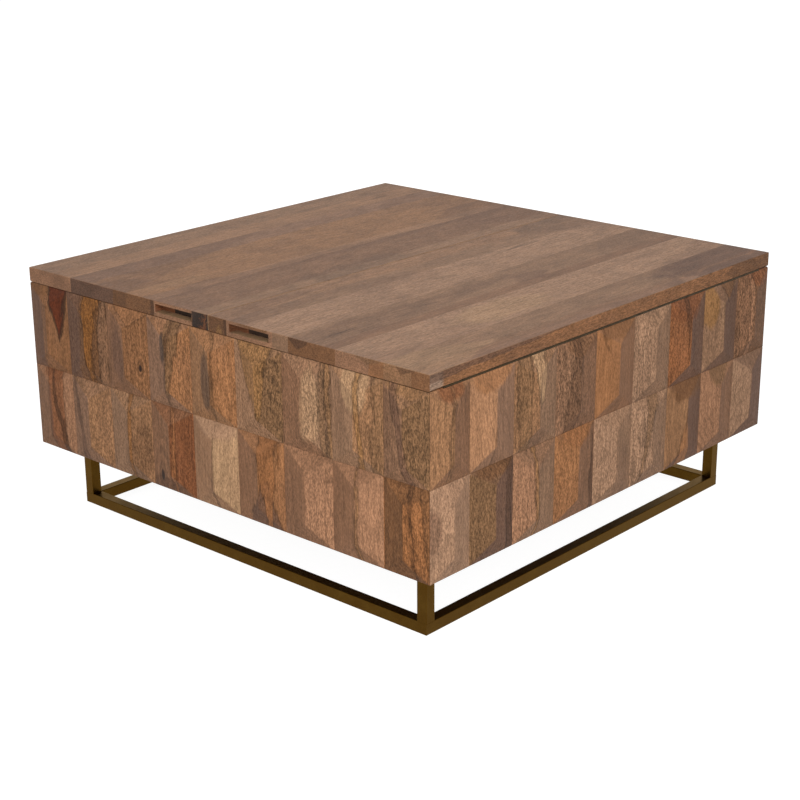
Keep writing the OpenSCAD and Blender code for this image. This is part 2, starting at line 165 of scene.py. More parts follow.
# The tiles of the two sides that the photograph shows, from its left to its right
FRONT_UPPER = [
    look("warm_brown", "mauve", -0.3,
         [band("dark_figure_and_shade", 0.58, 0.55, -0.37, -0.3, 0.7),
          band("dark_red", 0.58, 0.5, -0.42, -0.3, 0.95)],
         spot("brown", -0.4, 1.0, 0.9, 0.12, 0.8), speckle=0.8),
    look("brown", "mauve", -0.3,
         [band("amber", 0.25, 0.32, 0.12, 0.0, 0.85), band("ash_brown", 0.85, 0.15, 0.25)],
         speckle=1.5),
    look("warm_brown", "grey_brown", AT_RIDGE, [band("orange_tan", 0.2, 0.9, -3.6, 0.0, 0.6)],
         spot("mauve", -0.4, 0.45, 0.36, 0.34), eye=(0.66, 0.35, 0.026, 1.2), speckle=1.3),
    look("orange_tan", "ash_tan", AT_RIDGE,
         [band("olive", 0.12, 0.4, -0.02, 0.3, 0.8), band("dark_brown", 0.0, 0.1, -0.08, 0.3, 0.6)],
         spot("blue_black", -0.16, 0.68, 0.14, 0.2, 0.75), speckle=1.5),
    look("orange_tan", "tan", AT_RIDGE, [band("olive", 0.08, 0.04, 0.03, -0.1, 0.5)],
         spot("blue_black", -0.2, 0.43, 0.27, 0.3, 0.58), speckle=1.3),
    look("olive", "sand", AT_RIDGE, [band("gold", -0.02, 0.7, -0.12, -0.25, 0.7)], speckle=1.8),
    look("grey_tan", "grey_brown", AT_RIDGE,
         [band("gold", 0.92, 0.1, 0.08, 0.0, 0.5), band("olive", 0.7, 0.12, 0.1, 0.0, 0.6)],
         spot("cream", 0.2, 0.5, 0.4, 0.42, 0.5), speckle=1.6),
    look("tan", "grey_tan", AT_RIDGE,
         [band("gold", 0.15, 0.12, 0.1, -0.1, 0.7), band("olive", 0.85, 0.2, 0.25, 0.0, 0.6)],
         spot("cream", -0.05, 0.9, 0.5, 0.3, 0.75), speckle=1.3),
    look("olive", "ash_brown", AT_RIDGE, [band("mauve", -0.25, 0.12, 0.2, -0.7, 0.7)],
         spot("gold", 0.0, 1.0, 0.9, 0.12, 0.3), speckle=1.6),
]
FRONT_LOWER = [
    look("pink_tan", "grey_brown", AT_RIDGE,
         [band("red_brown", 0.2, 0.42, 0.3, -0.2), band("dark_brown", 0.3, 0.04, 0.14, -0.6)],
         spot("red_brown", 0.0, 0.97, 0.5, 0.12, 0.6)),
    look("tan", "ash_tan", AT_RIDGE, [band("mauve", -0.55, 0.05, 0.1, -0.4)], speckle=1.4),
    look("tan", "grey_tan", AT_RIDGE, [band("amber", 0.12, 0.12, 0.08, 0.0, 0.6)],
         spot("dark_brown", 0.62, 0.36, 0.4, 0.3, 0.35), speckle=1.4),
    look("red_brown", "grey_brown", AT_RIDGE, [band("orange", 0.1, 0.08, 0.08, 0.0, 0.5)],
         spot("dark_brown", -0.2, 0.05, 1.0, 0.12, 0.5),
         eye=(-0.45, 0.17, 0.045, 1.0), speckle=1.2),
    look("cream", "sand", AT_RIDGE, [band("mauve", 0.03, -0.02, 0.03, 0.0, 0.4)],
         spot("pale_tan", 0.2, 1.0, 0.9, 0.2), speckle=0.8),
    look("orange_tan", "grey_brown", AT_RIDGE,
         [band("mauve", 0.35, -0.55, 0.7, 0.2, 0.9), band("orange", 0.4, 0.4, 0.1)]),
    look("pink_tan", "grey_brown", speckle=1.2),
    look("pink_tan", "grey_brown", AT_RIDGE, [band("gold", 0.05, 0.02, 0.06, 0.0, 0.5)],
         speckle=0.9),
    look("orange", "brown", AT_RIDGE,
         [band("dark_brown", 0.42, 0.03, 0.02, -0.3, 0.6), band("brown", 0.95, 0.3, 0.1)],
         spot("brown", 0.2, 1.0, 1.4, 0.16, 0.7), speckle=1.4),
]
RIGHT_UPPER = [
    look("tan", "grey_brown", AT_RIDGE, [band("olive", -0.05, 0.05, 0.1, 0.1, 0.4)],
         spot("red_brown", 0.0, 0.97, 0.6, 0.14), speckle=1.1),
    look("peach", "ash_tan", AT_RIDGE, [band("mauve", 0.0, -0.1, 0.03, 0.0, 0.4)],
         spot("orange_tan", 0.0, 1.0, 0.9, 0.2), speckle=0.8),
    look("tan", "grey_tan", AT_RIDGE,
         [band("olive", -0.6, 0.25, 0.2, 0.0, 0.7), band("cream", 0.1, 0.4, -0.3)],
         spot("mauve", -0.2, 0.08, 0.7, 0.12, 0.3), speckle=1.4),
    look("ash_brown", "grey_brown", AT_RIDGE, [band("dark_brown", -0.2, 0.2, 0.3, 0.4, 0.4)],
         spot("brown", 0.2, 0.95, 0.9, 0.14, 0.5), speckle=1.7),
    look("orange_tan", "grey_brown", AT_RIDGE, [band("brown", -0.25, 0.06, -0.25, -1.0, 0.5)],
         spot("brown", 0.1, 1.0, 0.9, 0.2, 0.6), speckle=0.6),
    look("pale_tan", "grey_tan", speckle=1.4),
    look("rust", "mauve", AT_RIDGE, [band("dark_brown", -0.1, 0.14, -0.12, 0.0, 0.6)],
         spot("red_brown", -0.2, 0.92, 0.9, 0.18), speckle=1.4),
    look("grey_tan", "mauve", AT_RIDGE, [band("brown", 0.3, 0.5, -1.6, 0.2, 0.6)],
         spot("gold", -0.75, 0.8, 0.5, 0.3, 0.85)),
    look("grey_brown", "brown", AT_RIDGE, [band("pink_tan", -0.25, 0.12, 0.14, 0.1, 0.6)],
         spot("red_brown", 0.4, 0.97, 0.8, 0.16), speckle=1.8),
]
RIGHT_LOWER = [
    look("pale_tan", "pale_tan", patch=spot("mauve", -0.85, 0.55, 0.4, 0.25, 0.6), speckle=1.1),
    look("olive", "mauve", AT_RIDGE, [band("dark_brown", 0.8, 0.2, 0.2, 0.0, 0.5)],
         spot("brown", 0.1, 1.0, 0.8, 0.15), speckle=1.4),
    look("pink_tan", "grey_tan", AT_RIDGE, [band("gold", -0.08, 0.06, 0.08, 0.0, 0.6)],
         spot("ash_brown", 0.1, 1.0, 0.9, 0.2), speckle=1.3),
    look("orange_tan", "grey_brown", AT_RIDGE, [band("dark_brown", 0.9, -0.05, 0.2)],
         spot("orange", 0.0, 1.0, 0.7, 0.2), speckle=1.2),
    look("pale_tan", "grey_tan", speckle=1.1),
    look("pale_tan", "grey_tan", AT_RIDGE, [band("olive", -0.25, 0.25, 0.0, 0.6, 0.6)],
         speckle=1.4),
    look("tan", "mauve", AT_RIDGE, [band("orange_tan", -0.1, -0.2, 0.3)],
         spot("brown", 0.1, 0.97, 0.9, 0.2, 0.9), speckle=0.7),
    look("pink_tan", "grey_brown", patch=spot("olive", 0.0, 1.0, 0.6, 0.2), speckle=0.9),
    look("pale_tan", "mauve", speckle=0.9),
]


def mixed(first, second, step):
    """The tiles of a side that the photograph doesn't show, drawn from two rows that it does."""
    pool = first + second
    return [pool[(i * step + step) % len(pool)] for i in range(len(first))]


TILE_LOOKS = {
    "tiles_front_upper": FRONT_UPPER,
    "tiles_front_lower": FRONT_LOWER,
    "tiles_right_upper": RIGHT_UPPER,
    "tiles_right_lower": RIGHT_LOWER,
    "tiles_back_upper": mixed(FRONT_LOWER, RIGHT_UPPER, step=5),
    "tiles_back_lower": mixed(FRONT_UPPER, RIGHT_LOWER, step=7),
    "tiles_left_upper": mixed(RIGHT_LOWER, FRONT_UPPER, step=5),
    "tiles_left_lower": mixed(RIGHT_UPPER, FRONT_LOWER, step=7),
}

# The lid boards: the looks of their faces, of their ends, and of their edges along the grain
EDGE_LOOK = look(
    "orange_tan", bands=[band("mauve", 1.0, -1.6, 1.1)],
    patch=spot("brown", 0.0, 1.0, 4.0, 0.12, 0.85), speckle=2.4)
# The right lid's outer edge: a pale worn patch at its near corner, painted partly as a highlight.
WORN_AND_HIGHLIT_EDGE_LOOK = look(
    "orange_tan", bands=[band("mauve", 1.0, -1.6, 1.1), band("brown", 0.0, 4.0, -21.0, 0.0, 0.7)],
    patch=spot("worn", 0.0, 0.0, 4.0, 0.03, 0.6), speckle=2.4)
# The faces in the seam between the two lids: pale cream, painted light that takes the shade out of
# the gap.
LIT_SEAM_LOOK = look("cream", speckle=0.5)
BOARD_LOOKS = {
    "left_lid_board_4": (
        look("grey_tan", "sand", 0.1, [band("mauve", 0.2, 1.3, -5.2, 0.0, 0.2)],
             eye=(0.5, 0.88, 0.02, 0.5)),
        look("pink_tan", speckle=1.5),
        EDGE_LOOK),
    "left_lid_board_3": (
        look("tan", "ash_tan", -0.3,
             [band("mauve", -1.2, -1.9, 2.2, 0.0, 0.4), band("mauve", -0.3, 1.9, -6.5, 0.0, 0.25)],
             spot("mauve", 0.8, 0.0, 1.0, 0.1, 0.3)),
        look("mauve", "brown", 0.55, [band("dark_brown", -0.3, 0.4, -0.2, 0.0, 0.4)], speckle=1.6),
        EDGE_LOOK),
    "left_lid_board_2": (
        look("tan", "sand", 0.3,
             [band("mauve", 0.9, -0.3, 0.8, 0.0, 0.4), band("mauve", 0.2, 2.4, -9.0, 0.0, 0.45)],
             spot("cream", -0.8, 0.1, 0.8, 0.08, 0.2)),
        look("warm_brown", "brown", 0.0, [band("dark_brown", 0.9, 0.1, 0.2)], speckle=2.5),
        EDGE_LOOK),
    "left_lid_board_1": (
        look("ash_brown", "grey_tan", 0.5,
             [band("mauve", -0.95, 0.2, 0.1, 0.0, 0.45), band("mauve", -0.4, 1.6, -5.0, 0.0, 0.3)],
             spot("blue_black", 0.6, 0.4, 0.5, 0.14, 0.2)),
        look("pink_tan", "dark_figure_and_shade", 0.42,
             [band("dark_figure_and_shade", 0.98, 0.1, 0.05), band("red_brown", 0.85, 0.05, 0.08)],
             speckle=2.5),
        LIT_SEAM_LOOK),
    "right_lid_board_1": (
        look("sand", "sand", 0.9, [band("mauve", 0.0, -3.0, 1.4, 0.0, 0.35)],
             spot("blue_black", 0.8, 0.95, 2.2, 0.15, 0.4)),
        look("brown", "brown", 0.0,
             [band("dark_brown", 0.9, 0.2, 0.1), band("gold", 0.2, -0.2, 0.4)], speckle=2.5),
        LIT_SEAM_LOOK),
    "right_lid_board_2": (
        look("pale_tan", "grey_tan", -0.4,
             [band("mauve", -1.0, -1.4, 0.75, 0.0, 0.3), band("mauve", -0.9, 1.0, -3.4, 0.0, 0.25)],
             eye=(-0.2, 0.72, 0.02, 0.5)),
        look("pink_tan", "grey_tan", 0.5, [band("brown", -0.1, 0.5, -0.3)], speckle=1.6),
        EDGE_LOOK),
    "right_lid_board_3": (
        look("grey_tan", "ash_brown", 0.5,
             [band("mauve", -0.3, -0.5, 0.9, -0.6, 0.3), band("mauve", 0.0, 2.2, -8.0, 0.0, 0.25)],
             spot("mauve", 0.2, 0.56, 0.45, 0.05, 0.5), eye=(-0.1, 0.075, 0.03, 0.5)),
        look("warm_brown", "brown", 0.0, [band("dark_brown", -0.6, 0.5, -0.3)], speckle=2.0),
        EDGE_LOOK),
    "right_lid_board_4": (
        look("pale_tan", "pale_tan", 0.6, [band("mauve", 0.9, 1.2, -4.6, 0.0, 0.3)],
             spot("cream", 0.0, 0.36, 0.8, 0.12, 0.5)),
        look("pink_tan", "orange_tan", 0.4, [band("olive", 0.4, 0.5, -0.6, 0.0, 0.6)], speckle=2.0),
        EDGE_LOOK),
    "right_lid_board_5": (
        look("grey_tan", "ash_tan", 0.5,
             [band("grey_brown", 0.4, 0.1, 0.2, 0.0, 0.5), band("cream", 0.0, -6.0, 1.6, 0.0, 0.3)],
             spot("mauve", 0.1, 0.92, 1.6, 0.2, 0.9)),
        look("tan", "warm_brown", 0.2, [band("dark_brown", -0.3, 0.5, -0.6, 0.5, 0.6)],
             speckle=2.0),
        WORN_AND_HIGHLIT_EDGE_LOOK),
}
# Finger slots: the floor is painted pale as painted light, and the walls near black as painted
# shade.
LIT_SLOT_FLOOR = look("cream", "pink_tan", 0.3, speckle=0.5)
SHADED_SLOT_INSIDE = look("dark_figure_and_shade", "red_brown", -0.5, speckle=3.0)


# Meshes

WELD = 1e-6                    # metres at which two vertices become one
FLAT = math.radians(0.4)       # faces that meet at less become one
ARRIS_ROUND = 0.0005
LID_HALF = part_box("right_lid_board_5")[1].x
UPWARD = Vector((0, 0, 1))

# Of each side: the way along it, to the right of who looks at it, and the way out of it
SIDE_AXES = {
    "front": (Vector((1, 0, 0)), Vector((0, -1, 0))),
    "right": (Vector((0, 1, 0)), Vector((1, 0, 0))),
    "back": (Vector((-1, 0, 0)), Vector((0, 1, 0))),
    "left": (Vector((0, -1, 0)), Vector((-1, 0, 0))),
}


def welded(node):
    """A copy of a node's mesh with its triangles joined to flat faces."""
    mesh = bmesh.new()
    mesh.from_mesh(NODES[node].data)
    bmesh.ops.remove_doubles(mesh, verts=mesh.verts, dist=WELD)
    bmesh.ops.dissolve_limit(mesh, angle_limit=FLAT, verts=mesh.verts, edges=mesh.edges)
    mesh.normal_update()
    return mesh


def cut(mesh, place, direction):
    """Divides the faces that a plane crosses, and keeps both sides."""
    everything = [*mesh.verts, *mesh.edges, *mesh.faces]
    bmesh.ops.bisect_plane(mesh, geom=everything, plane_co=place, plane_no=direction)


def islands(mesh):
    """The separate solids of a mesh, each as a list of vertices."""
    left, found = set(mesh.verts), []
    while left:
        stack, group = [left.pop()], []
        while stack:
            vert = stack.pop()
            group.append(vert)
            for edge in vert.link_edges:
                other = edge.other_vert(vert)
                if other in left:
                    left.remove(other)
                    stack.append(other)
        found.append(group)
    return found


def span_of(verts, direction):
    """Where vertices begin and end in a direction."""
    places = [vert.co.dot(direction) for vert in verts]
    return min(places), max(places)


def middle_of(edge):
    return (edge.verts[0].co + edge.verts[1].co) / 2


def rounded(mesh, name, widest, width_of):
    """An object of a bmesh whose edges are rounded by what width_of(edge) gives, which is
    widest at most."""
    layer = mesh.edges.layers.float.new("bevel_weight_edge")
    for edge in mesh.edges:
        edge[layer] = width_of(edge) / widest
    data = bpy.data.meshes.new(name)
    mesh.to_mesh(data)
    mesh.free()
    piece = bpy.data.objects.new(name, data)
    bpy.context.scene.collection.objects.link(piece)
    bevel = piece.modifiers.new("round", "BEVEL")
    bevel.width, bevel.segments, bevel.limit_method = widest, 2, "WEIGHT"
    bevel.use_clamp_overlap = True
    bpy.context.view_layer.update()
    bevelled = piece.evaluated_get(bpy.context.evaluated_depsgraph_get())
    done = bpy.data.meshes.new_from_object(bevelled)
    piece.modifiers.clear()
    piece.data = done
    done.name = name
    bpy.data.meshes.remove(data)
    return piece


def paint(piece, values):
    """Writes what values(polygon, point) gives to every corner: names, with 3 numbers each
    for a vector or 4 for a colour."""
    data = piece.data
    written = {}
    for face in data.polygons:
        for corner in face.loop_indices:
            point = data.vertices[data.loops[corner].vertex_index].co
            for name, value in values(face, point).items():
                written.setdefault(name, []).extend(value)
    for name, numbers in written.items():
        is_colour = len(numbers) == 4 * len(data.loops)
        kind, field = ("FLOAT_COLOR", "color") if is_colour else ("FLOAT_VECTOR", "vector")
        data.attributes.new(name, kind, "CORNER").data.foreach_set(field, numbers)


def smooth(piece, angle):
    """Smooth shading that keeps flat facets flat and edges over an angle sharp."""
    piece.data.shade_smooth()
    piece.data.set_sharp_from_angle(angle=angle)
    piece.modifiers.new("flat_facets", "WEIGHTED_NORMAL").keep_sharp = True


def stand_for(piece, node):
    """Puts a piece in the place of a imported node, on the node's body."""
    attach(piece, BODY_OF[node])
    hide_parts(node)


# The log that a tile or board was cut from

FIGURE_REACH = 9.0             # metres of figure that the pieces are drawn from, either way
HEART_ANGLES = (-2.6, -0.5)    # radians: the heart lies behind or under the piece
HEART_AWAY = 0.11              # metres, times a share:
HEART_SHARES = (0.5, 1.6)
HEART_LEANS = (0.22, 0.25)     # the most that the heart leans, sideways and outward


def anywhere(draw):
    """A random place in the figure of the wood."""
    return Vector([draw.uniform(-FIGURE_REACH, FIGURE_REACH) for _ in range(3)])


def ring_heart(draw):
    """The heart of the log: where it lies, and how it leans."""
    angle = draw.uniform(*HEART_ANGLES)
    far = draw.uniform(*HEART_SHARES) * HEART_AWAY
    leans = [draw.uniform(-most, most) for most in HEART_LEANS]
    return far * math.cos(angle), far * math.sin(angle), *leans


def from_heart(local, heart):
    """How far a place lies from the heart, across the grain in two directions and along it."""
    x, y, lean_x, lean_y = heart
    return local.x - x + lean_x * local.z, local.y - y + lean_y * local.z, local.z


# Tiles

RIDGE_HEIGHT = 0.010
RIDGE_ROUND = 0.0016
RIDGE_TURN = math.radians(9)   # proud edges that turn by more are ridges
ARRIS_TURN = math.radians(60)  # edges of the face that turn by more are arrises
ARRIS_END = 0.006              # how far down an upper row's corner arris stays sharp
CUTS_ACROSS = (0.25, 0.75)     # shares of a tile's width
ROW_PARTS = 8                  # parts that the cuts make of a row's height
LEAST_PROUD = 0.05             # a share of the ridge's height: what is lower isn't worn
WEAR_SCALE = 22                # noise waves in a metre
ROW_SHIFT = 7.0                # in the noise, from one row to the next
WANE_SHIFT = Vector((3, 5, 9))  # in the noise, from wander to wane
WANDER = 0.0016                # the most that a ridge strays sideways
WANE = 0.0005                  # what a ridge loses, times a wear
MEAN_WEAR = 0.5
LEAST_WEAR = 0.15
# The second tone on a tile's facets is painted shade: these set how much each facet gets from the
# way it faces, more when it faces down and less when it faces up.
FACET_SHADE_START = 0.7              # share of the second tone on a facet that doesn't lean
FACET_SHADE_LEAN = 0.12              # a lean by this much adds 0.5, or takes it off
FACET_SHADE_DROP = 0.15              # the part of facing down that counts as leaning
TILE_SHARP = math.radians(35)


def wear_ridges(mesh, along, out, face_plane, number):
    """Lets the ridges of a row wander and wear, most where they are most proud."""
    for vert in mesh.verts:
        proud = (vert.co.dot(out) - face_plane) / RIDGE_HEIGHT
        if proud > LEAST_PROUD:
            place = vert.co * WEAR_SCALE + Vector((number * ROW_SHIFT, 0, 0))
            vert.co += along * noise.noise(place) * WANDER * proud
            wear = max(MEAN_WEAR + noise.noise(place + WANE_SHIFT), LEAST_WEAR)
            vert.co -= out * wear * WANE * proud
    mesh.normal_update()


def carve_tiles(node, looks, number):
    """One row of tiles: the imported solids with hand-worn ridges, and the wood of each."""
    side = node.split("_")[1]
    along, out = SIDE_AXES[side]
    mesh = welded(node)
    spans = sorted(span_of(group, along) for group in islands(mesh))
    face_plane = max(v.co.dot(out) for v in mesh.verts) - RIDGE_HEIGHT
    low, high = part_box(node)[0].z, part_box(node)[1].z
    height = high - low
    arris_end = high - ARRIS_END if node.endswith("upper") else high
    for start, end in spans:
        for share in CUTS_ACROSS:
            cut(mesh, along * (start + share * (end - start)), along)
    for step in range(1, ROW_PARTS):
        cut(mesh, UPWARD * (low + height * step / ROW_PARTS), UPWARD)
    cut(mesh, UPWARD * arris_end, UPWARD)
    wear_ridges(mesh, along, out, face_plane, number)

    def width_of(edge):
        turn = edge.calc_face_angle_signed(0)
        middle = middle_of(edge)
        proud = middle.dot(out) - face_plane
        at_corner = abs(middle.dot(along)) > LID_HALF - ARRIS_ROUND
        if at_corner and middle.z > arris_end:
            return 0.0
        if turn > ARRIS_TURN and proud > -ARRIS_ROUND:
            return ARRIS_ROUND
        return RIDGE_ROUND if turn > RIDGE_TURN and proud > ARRIS_ROUND else 0.0

    piece = rounded(mesh, f"{node}_carved", RIDGE_ROUND, width_of)
    draw = random.Random(number)
    seeds = [anywhere(draw) for _ in spans]
    hearts = [ring_heart(draw) for _ in spans]
    # The second tone, a painted shade, is on the facets that face left in front and at the back,
    # else right
    shaded_side = -1 if side in ("front", "back") else 1

    def values(face, point):
        middle = face.center.dot(along)
        column = min(range(len(spans)), key=lambda i: abs(middle - sum(spans[i]) / 2))
        start, end = spans[column]
        across = point.dot(along)
        u = 2 * (across - start) / (end - start) - 1
        v = (point.z - low) / height
        local = Vector((across - (start + end) / 2, point.dot(out) - face_plane, point.z - low))
        grain = Vector((across, point.dot(out), point.z)) + seeds[column]
        # How much painted shade the facet gets, by the way it faces; place carries it as its third
        # number.
        lean = face.normal.dot(along) * shaded_side - face.normal.z * FACET_SHADE_DROP
        facet_shade = min(max(FACET_SHADE_START + lean / (2 * FACET_SHADE_LEAN), 0.0), 1.0)
        away = from_heart(local, hearts[column])
        return {"place": (u, v, facet_shade), "grain": tuple(grain), "heart": away, **looks[column]}

    paint(piece, values)
    smooth(piece, TILE_SHARP)
    stand_for(piece, node)
    return piece


# Lid boards

LID_BORDER = 0.0015            # what is nearer than this to the lids' outline is on it
TOP_ROUND = 0.0022             # the most that an arris of the lids' top is worn
TOP_PARTS = 15                 # parts of an outer board's length, each with its own wear
TOP_WEAR_SCALE = 9             # noise waves in a metre
MEAN_TOP_WEAR = 0.7
TOP_WEAR_SWING = 0.5
LEAST_TOP_WEAR = 0.3
SHORTEST_ARRIS = 0.004         # shorter edges aren't rounded
BOARD_TURN = math.radians(20)  # edges that turn by more are arrises
BOARD_SHARP = math.radians(40)
BOARD_SEED = 100
BOARD_LEAN = 0.2               # the share of a heart's lean that a board keeps
SLOT_DEPTHS = (0.001, 0.017)   # where the middles of a slot's faces lie, from the front
SLOT_HEIGHTS = (0.4130, 0.4285)
FACES_UP = 0.5                 # the part of a normal that makes a slot's face its floor
FACES_OUT = 0.75               # or another face one of a board's ends or edges


def on_outline(coordinate):
    """Whether an X or a Y is that of an outer side of the lids."""
    return abs(coordinate) > LID_HALF - LID_BORDER


def in_slot(point):
    """Whether a face with this middle lies inside a finger slot."""
    depth = point.y + LID_HALF
    at_depth = SLOT_DEPTHS[0] < depth < SLOT_DEPTHS[1]
    return at_depth and SLOT_HEIGHTS[0] < point.z < SLOT_HEIGHTS[1]


def plane_board(node, looks, number):
    """A lid board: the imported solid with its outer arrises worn, and the wood of its faces."""
    low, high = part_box(node)
    mesh = welded(node)
    if on_outline(low.x) or on_outline(high.x):
        for step in range(1, TOP_PARTS):
            cut(mesh, (0, low.y + (high.y - low.y) * step / TOP_PARTS, 0), (0, 1, 0))

    def width_of(edge):
        middle = middle_of(edge)
        run = edge.verts[1].co - edge.verts[0].co
        at_end, at_side = on_outline(middle.y), on_outline(middle.x)
        glued = at_end and not at_side and abs(run.z) > run.length / 2
        sharp = edge.calc_face_angle_signed(0) > BOARD_TURN and run.length > SHORTEST_ARRIS
        if not sharp or glued or not (at_end or at_side):
            return 0.0
        if middle.z < high.z - LID_BORDER:
            return ARRIS_ROUND
        wave = noise.noise(Vector((middle.y * TOP_WEAR_SCALE, number, 0))) if at_side else 0.0
        wear = max(MEAN_TOP_WEAR + TOP_WEAR_SWING * wave, LEAST_TOP_WEAR)
        return TOP_ROUND * min(wear, 1.0)

    piece = rounded(mesh, f"{node}_planed", TOP_ROUND, width_of)
    draw = random.Random(BOARD_SEED + number)
    seed = anywhere(draw)
    x, y, lean_x, lean_y = ring_heart(draw)
    heart = (x, y, lean_x * BOARD_LEAN, lean_y * BOARD_LEAN)
    middle = (low + high) / 2
    of_faces, of_ends, of_edges = looks

    def values(face, point):
        across = 2 * (point.x - low.x) / (high.x - low.x) - 1
        along = (point.y - low.y) / (high.y - low.y)
        up = (point.z - low.z) / (high.z - low.z)
        chosen, u, v = of_faces, across, along
        # A slot's floor takes painted light, and its walls painted shade
        if in_slot(face.center):
            chosen = LIT_SLOT_FLOOR if face.normal.z > FACES_UP else SHADED_SLOT_INSIDE
        elif abs(face.normal.y) > FACES_OUT:
            chosen, v = of_ends, up
        elif abs(face.normal.x) > FACES_OUT:
            chosen, u = of_edges, 2 * up - 1
        grain = Vector((point.x, point.z, point.y)) + seed
        local = Vector((point.x - middle.x, point.z - middle.z, point.y - middle.y))
        away = from_heart(local, heart)
        return {"place": (u, v, 0.0), "grain": tuple(grain), "heart": away, **chosen}

    paint(piece, values)
    smooth(piece, BOARD_SHARP)
    stand_for(piece, node)
    return piece


# Materials

class Wiring:
    """Adds nodes to a new material. What it returns are output sockets, to feed to the next
    node."""

    def __init__(self, name):
        self.material = bpy.data.materials.new(name)
        self.material.use_nodes = True
        self.tree = self.material.node_tree
        self.tree.nodes.clear()
        self.output = self.tree.nodes.new("ShaderNodeOutputMaterial")

    def put(self, kind, inputs, **settings):
        """A new node. It links the inputs that are sockets, and sets the others."""
        node = self.tree.nodes.new(kind)
        for name, value in settings.items():
            setattr(node, name, value)
        for key, value in inputs.items():
            if isinstance(value, bpy.types.NodeSocket):
                self.tree.links.new(value, node.inputs[key])
            else:
                node.inputs[key].default_value = value
        return node

    def math(self, operation, a, b=0.0, c=0.0):
        return self.put("ShaderNodeMath", {0: a, 1: b, 2: c}, operation=operation).outputs[0]

    def length(self, x, y):
        squares = self.math("ADD", self.math("MULTIPLY", x, x), self.math("MULTIPLY", y, y))
        return self.math("SQRT", squares)

    def stretch(self, vector, factors, shift=(0, 0, 0)):
        inputs = {0: vector, 1: factors, 2: shift}
        return self.put("ShaderNodeVectorMath", inputs, operation="MULTIPLY_ADD").outputs[0]

    def noise(self, vector, detail, rough=0.5):
        """Noise from 0 to 1 with about one wave in a unit of the vector."""
        inputs = {"Vector": vector, "Scale": 1.0, "Detail": detail, "Roughness": rough}
        return self.put("ShaderNodeTexNoise", inputs).outputs[0]

    def swing(self, value, reach):
        """A noise from 0 to 1 as a shift from -reach to reach."""
        return self.math("MULTIPLY_ADD", value, 2 * reach, -reach)

    def ramp(self, value, span, gives=(0.0, 1.0)):
        """A smooth step, from gives[0] at span[0] to gives[1] at span[1]."""
        inputs = {0: value, 1: span[0], 2: span[1], 3: gives[0], 4: gives[1]}
        return self.put("ShaderNodeMapRange", inputs, interpolation_type="SMOOTHSTEP").outputs[0]

    def mix(self, share, a, b):
        inputs = {0: share, 6: a, 7: b}
        return self.put("ShaderNodeMix", inputs, data_type="RGBA").outputs[2]

    def darken(self, colour, factor):
        """A colour times a number."""
        inputs = {0: colour, 3: factor}
        return self.put("ShaderNodeVectorMath", inputs, operation="SCALE").outputs[0]

    def draw(self, colour, marks, depth, ground=1.0):
        """A colour times ground, and times ground less depth where the marks are 1."""
        return self.darken(colour, self.math("MULTIPLY_ADD", marks, -depth, ground))

    def attribute(self, name):
        return self.put("ShaderNodeAttribute", {}, attribute_name=name)

    def place(self):
        """The place on a piece, in its own metres."""
        return self.put("ShaderNodeTexCoord", {}).outputs["Object"]

    def parts(self, vector):
        return self.put("ShaderNodeSeparateXYZ", {0: vector}).outputs

    def bump(self, height, distance, strength):
        inputs = {"Height": height, "Distance": distance, "Strength": strength}
        return self.put("ShaderNodeBump", inputs).outputs[0]

    def surface(self, shader):
        self.tree.links.new(shader, self.output.inputs["Surface"])
        return self.material

    def principled(self, colour, roughness, normal, **fixed):
        inputs = {"Base Color": colour, "Roughness": roughness, "Normal": normal}
        inputs |= {name.replace("_", " "): value for name, value in fixed.items()}
        return self.surface(self.put("ShaderNodeBsdfPrincipled", inputs).outputs[0])


def opaque(tone):
    return (*tone, 1.0)


# The figure of the wood

# A sway is how far a noise moves something: bands, splits and patches by half widths of
# the tile or board, rings by metres. A pair says where in a noise something begins and
# is full, or what the tone is multiplied by there.
SPREAD = (0.3, 0.7)            # where most of a noise lies
GRAIN_BEND = 0.05              # metres
RING_SWAYS = {"wide": 0.012, "bend": 0.03}
RING_LINE = (0.35, 0.93)       # within a ring: where its line begins and is darkest
SPLIT_FRAY = 0.4               # shares of the split's sway
SPLIT_SOFTNESS = 0.33
BAND_SWAY = 0.35
BAND_FRAY = 0.14
BAND_EDGE = (-0.05, 0.06)
RIM_WIDTH = 0.06               # of the darker rim that runs along a band's edges
RIM_FADE = (0.0, 0.5)          # strengths of a band: where its rim begins and is full
PATCH_SWAY = 0.6
PATCH_EDGE = (0.8, 1.15)
GREY_CLOUDS = (0.48, 0.72)
GREY_SHARE = 0.3
# Fine marks show less on the second tone, as in the painted shade of the shaded facets.
SECOND_TONE_LOSS = 0.33        # of speckle, on the second tone
LINE_LEAST = 0.2               # what clouds leave of the growth lines
LINE_SPECKLE = 0.6             # the share of them that goes with the speckle
LINE_LIFT = 0.3                # the ground is lifted by these shares of the marks' depth
STROKE_LIFT = 0.2
STROKE_SHARE = 0.7             # depth of strokes, in fleck depths
PORE_LEAST = 0.4               # what is left of the pores without speckle
PORE_DEPTH = 0.36
FINE_GROUND = 1.03             # the ground between flecks or pores
ROUGHNESS = 0.6
KNOT_SQUEEZE = (0.35, 0.5)     # what distances across and up count in a knot
KNOT_SWAY = 0.012
KNOT_CORE = (0.5, 1.1)         # radii at which the core begins to fade and is gone
KNOT_RINGS = (1.0, 8.0)        # and those at which the rings do and are
KNOT_DEPTH = 0.24
KNOT_WAVES = 3.2               # radians of ring in a radius
FINER = 14                     # the mottling of metal, in waves to one of its patches


